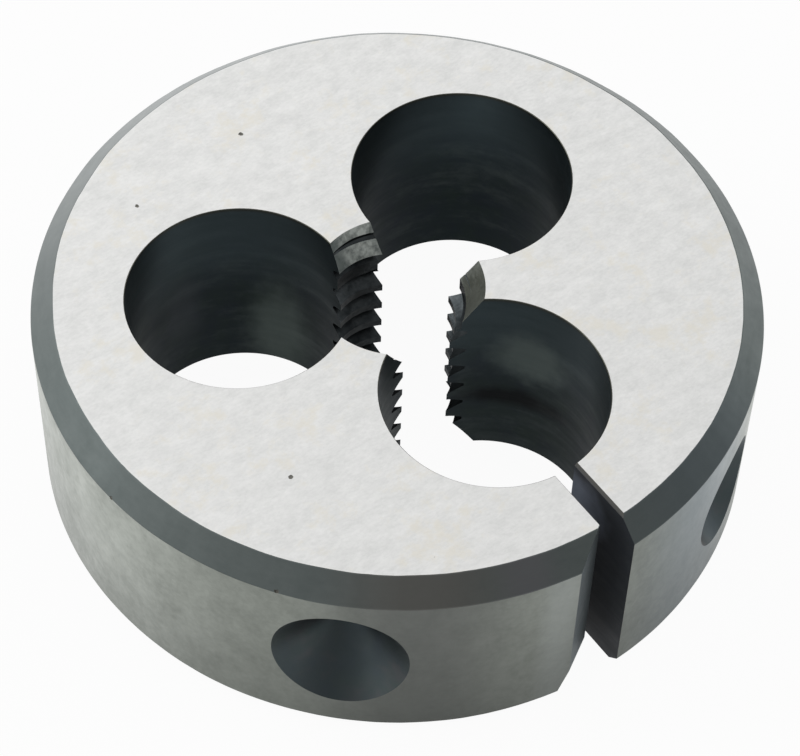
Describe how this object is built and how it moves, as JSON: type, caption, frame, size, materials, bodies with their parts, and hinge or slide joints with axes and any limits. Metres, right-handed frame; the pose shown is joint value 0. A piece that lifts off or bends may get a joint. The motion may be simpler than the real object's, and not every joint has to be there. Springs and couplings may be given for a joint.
{
  "type": "round threading die",
  "caption": "Round split threading die: a thick steel disc with a toothed centre bore, chip holes opening into it, an adjusting slit and conical screw seats on the rim.",
  "frame": {"origin": "on the axis of the rim, in the plane of the underside", "axes": "+Z along the axis of the rim, out of the side with the wider rim chamfer; the slit opens towards -Y"},
  "size_m": [0.02, 0.02, 0.0066],
  "materials": {
    "ground_steel": "ground faces and rim, darkened chip holes, slit and chamfers"
  },
  "bodies": {
    "root": {"die_body": "ground_steel"}
  },
  "joints": []
}
